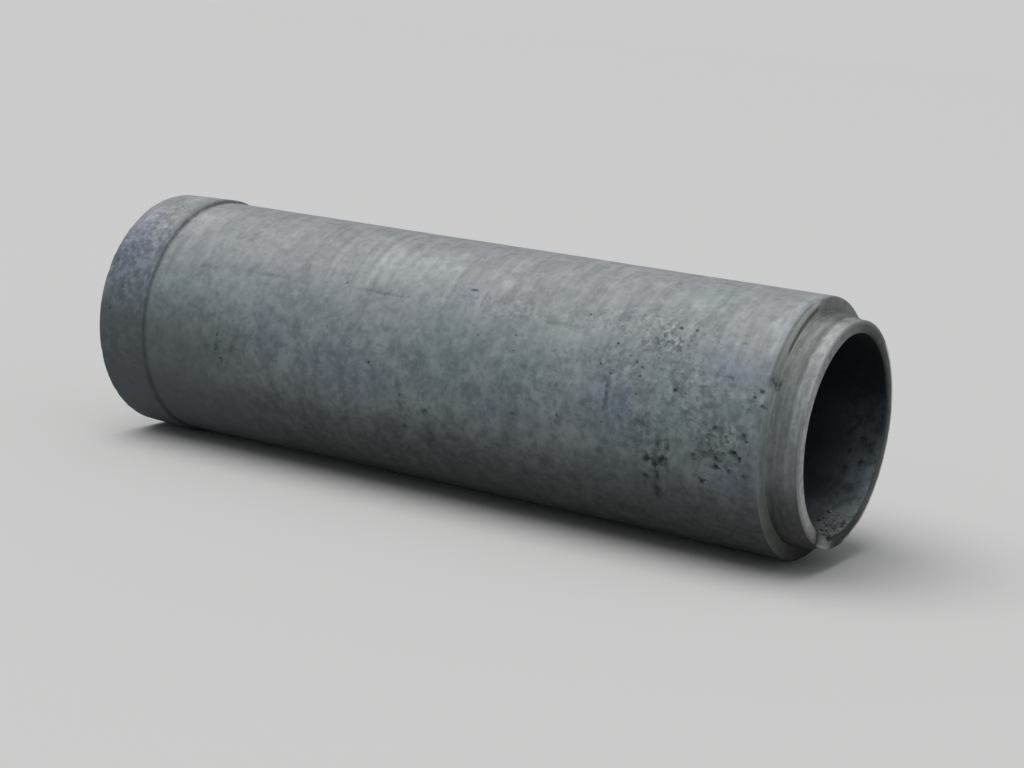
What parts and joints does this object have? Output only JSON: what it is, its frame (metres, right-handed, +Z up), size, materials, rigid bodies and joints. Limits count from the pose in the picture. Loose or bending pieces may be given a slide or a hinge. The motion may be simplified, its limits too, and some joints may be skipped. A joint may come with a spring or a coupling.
{
  "type": "concrete culvert pipe",
  "caption": "Thick-walled round concrete pipe for a culvert or drain, with a stepped tongue end that fits the groove in the slightly proud bell end of the next pipe.",
  "frame": {"origin": "middle of the pipe's length, on the floor under it", "axes": "+X runs along the pipe from the groove in the bell end to the tongue, +Z is up"},
  "size_m": [2.54, 0.806, 0.8056],
  "materials": {
    "concrete": "matte"
  },
  "bodies": {
    "root": {"culvert_pipe": "concrete"}
  },
  "joints": []
}
